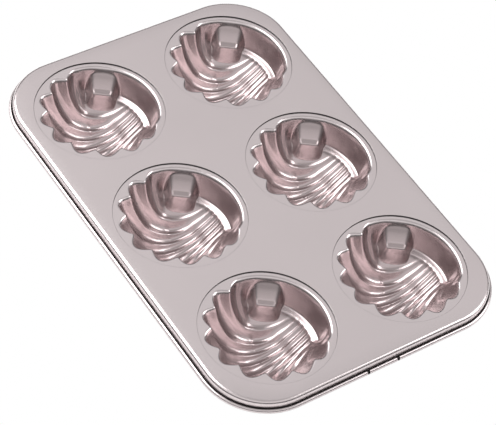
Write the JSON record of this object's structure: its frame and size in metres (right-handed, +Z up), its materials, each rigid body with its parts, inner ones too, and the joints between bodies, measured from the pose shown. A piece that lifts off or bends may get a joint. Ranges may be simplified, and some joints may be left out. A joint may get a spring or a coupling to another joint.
{
  "type": "madeleine pan",
  "caption": "Shallow rectangular sheet-metal baking pan with shell-shaped cups hanging from a flat deck with a rolled rim.",
  "frame": {"origin": "on the plane that the pan rests on, below the middle of the deck", "axes": "+X along the short side, +Y along the long side away from the front edge, +Z up, out of the cups"},
  "size_m": [0.1824, 0.271, 0.0338],
  "materials": {
    "coated_sheet": "satin",
    "coated_cup": "satin",
    "wire": "plain drawn wire"
  },
  "bodies": {
    "root": {"deck": "coated_sheet", "rim_wire": "wire", "cup_front_left": "coated_cup", "cup_front_right": "coated_cup", "cup_middle_left": "coated_cup", "cup_middle_right": "coated_cup", "cup_back_left": "coated_cup", "cup_back_right": "coated_cup"}
  },
  "joints": []
}
